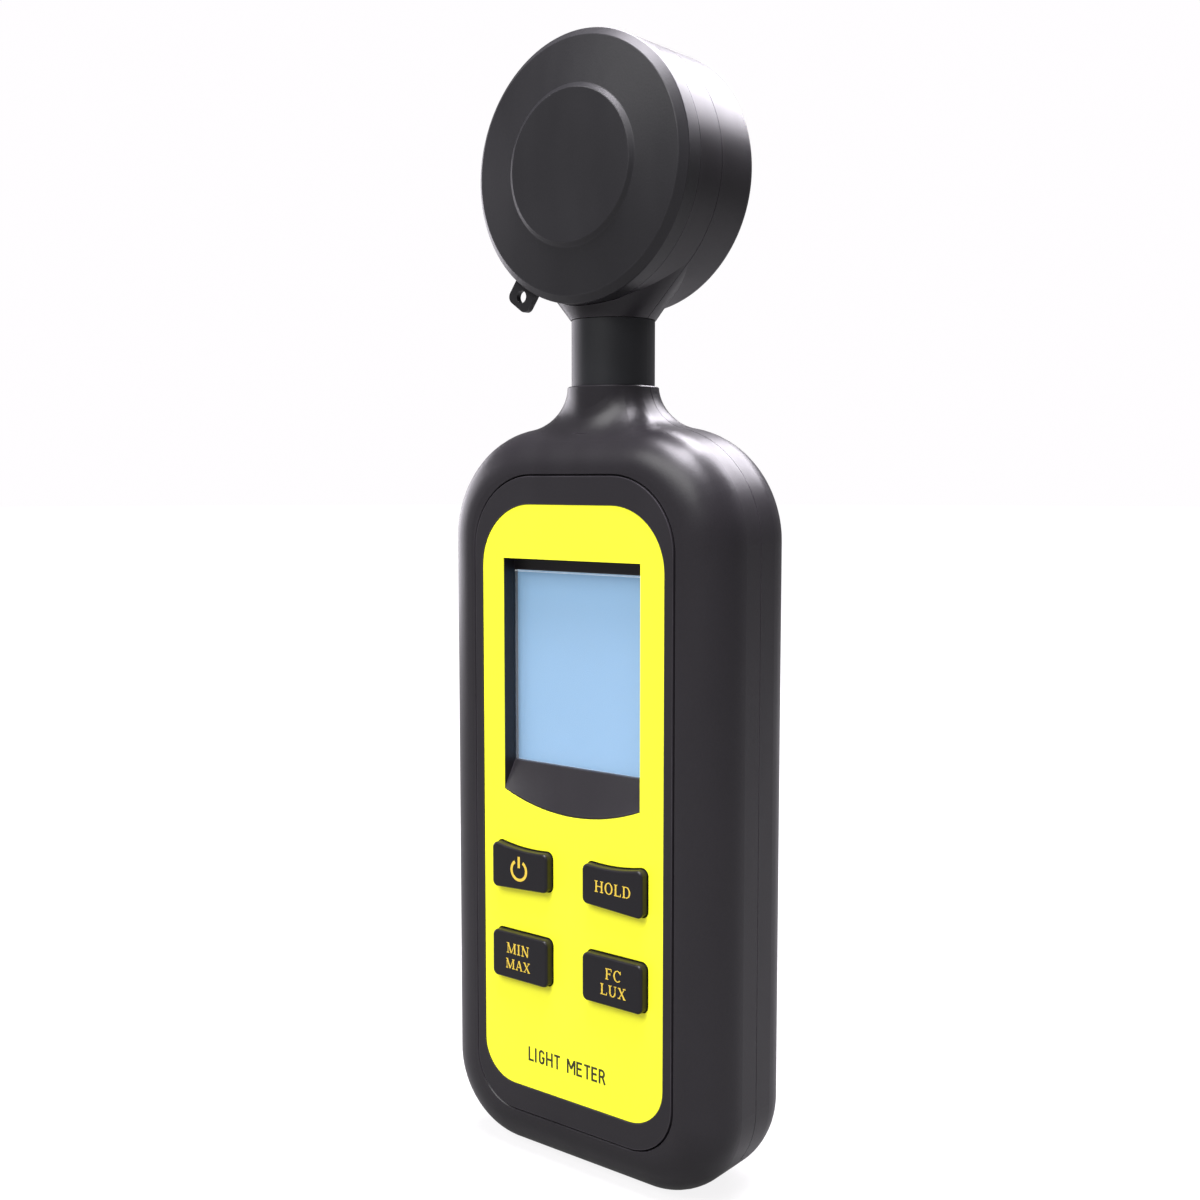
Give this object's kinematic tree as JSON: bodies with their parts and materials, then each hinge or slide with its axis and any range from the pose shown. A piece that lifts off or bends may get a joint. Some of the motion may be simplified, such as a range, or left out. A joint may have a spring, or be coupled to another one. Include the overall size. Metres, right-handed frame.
{
  "type": "handheld light meter",
  "caption": "Handheld light meter: slim rounded body with yellow face, blue display and keys, and a round capped sensor head that turns on a short neck.",
  "frame": {"origin": "centre of the flat base, on the parting plane of the two body shells and on the axis that the sensor head turns about", "axes": "+X to the user's right, -Y out of the display face, +Z along the body from the base to the sensor head"},
  "size_m": [0.056, 0.0237, 0.1797],
  "materials": {
    "shell_plastic": "moulded ABS, charcoal, semi-gloss with a very fine grain",
    "neck_plastic": "moulded acetal, satin",
    "cap_plastic": "moulded ABS, charcoal, satin",
    "bezel_plastic": "moulded ABS, satin",
    "label_film": "yellow printed polyester film",
    "key_plastic": "satin moulded keys with gold printed legends",
    "clear_window": "clear acrylic",
    "lcd_glass": "light blue backlit liquid crystal panel",
    "white_plastic": "white moulded plastic",
    "dark_frame": "black moulded plastic",
    "black_rubber": "rubber",
    "switch_body": "black switch plastic",
    "board_laminate": "green solder mask",
    "chip_resin": "moulded epoxy",
    "plated_steel": "nickel plated",
    "screw_steel": "black zinc plated",
    "cell_wrap": "printed metallised sleeve over the can, plain",
    "diffuser_acrylic": "opal acrylic",
    "filter_glass": "green photopic filter",
    "lead_jacket": "grey PVC jacket",
    "gold_ink": "gold printing ink on the keys",
    "dark_ink": "dark brown printing ink on the label and the cells"
  },
  "bodies": {
    "meter_body": {"front_shell": "shell_plastic", "rear_shell": "shell_plastic", "case_screws": "screw_steel", "face_bezel": "bezel_plastic", "face_label": "label_film", "window_lens": "clear_window", "lcd_panel": "lcd_glass", "lcd_backlight": "white_plastic", "zebra_strip": "black_rubber", "lcd_frame": "dark_frame", "tact_switches": "switch_body", "main_pcb": "board_laminate", "pcb_screws": "screw_steel", "main_chip": "chip_resin", "crystal_can": "plated_steel", "board_parts": "chip_resin", "board_header": "white_plastic", "lead_plug": "white_plastic", "battery_cell_1": "cell_wrap", "battery_cell_2": "cell_wrap", "battery_cell_3": "cell_wrap", "battery_springs": "plated_steel", "battery_contacts": "plated_steel", "neck_washer": "white_plastic"},
    "sensor_head": {"neck_tube": "neck_plastic", "neck_friction_ring": "black_rubber", "head_front_shell": "shell_plastic", "head_rear_shell": "shell_plastic", "head_screws": "screw_steel", "diffuser_dome": "diffuser_acrylic", "sensor_baffle": "dark_frame", "photopic_filter": "filter_glass", "photodiode": "plated_steel", "sensor_pcb": "board_laminate", "sensor_header": "white_plastic", "sensor_lead": "lead_jacket"},
    "cap": {"lens_cap": "cap_plastic"},
    "battery_door": {"battery_cover": "shell_plastic", "battery_cover_screw": "screw_steel"},
    "power_key": {"key_power": "key_plastic", "plunger_power": "switch_body"},
    "hold_key": {"key_hold": "key_plastic", "plunger_hold": "switch_body"},
    "min_max_key": {"key_min_max": "key_plastic", "plunger_min_max": "switch_body"},
    "units_key": {"key_units": "key_plastic", "plunger_units": "switch_body"}
  },
  "joints": [
    {"name": "head_turn", "type": "hinge", "parent": "meter_body", "child": "sensor_head", "pos_m": [0, 0, 0.13], "axis": [0, 0, 1], "range_deg": [-90, 180]},
    {"name": "cap_pull", "type": "slide", "parent": "sensor_head", "child": "cap", "axis": [0, -1, 0], "range_m": [0, 0.016]},
    {"name": "battery_cover_tilt", "type": "hinge", "parent": "meter_body", "child": "battery_door", "pos_m": [0, 0.0111, 0.0162], "axis": [-1, 0, 0], "range_deg": [0, 60]},
    {"name": "power_press", "type": "slide", "parent": "meter_body", "child": "power_key", "axis": [0, 1, 0], "range_m": [0, 0.0005], "stiffness_N_per_m": 1500},
    {"name": "hold_press", "type": "slide", "parent": "meter_body", "child": "hold_key", "axis": [0, 1, 0], "range_m": [0, 0.0005], "stiffness_N_per_m": 1500},
    {"name": "min_max_press", "type": "slide", "parent": "meter_body", "child": "min_max_key", "axis": [0, 1, 0], "range_m": [0, 0.0005], "stiffness_N_per_m": 1500},
    {"name": "units_press", "type": "slide", "parent": "meter_body", "child": "units_key", "axis": [0, 1, 0], "range_m": [0, 0.0005], "stiffness_N_per_m": 1500}
  ]
}
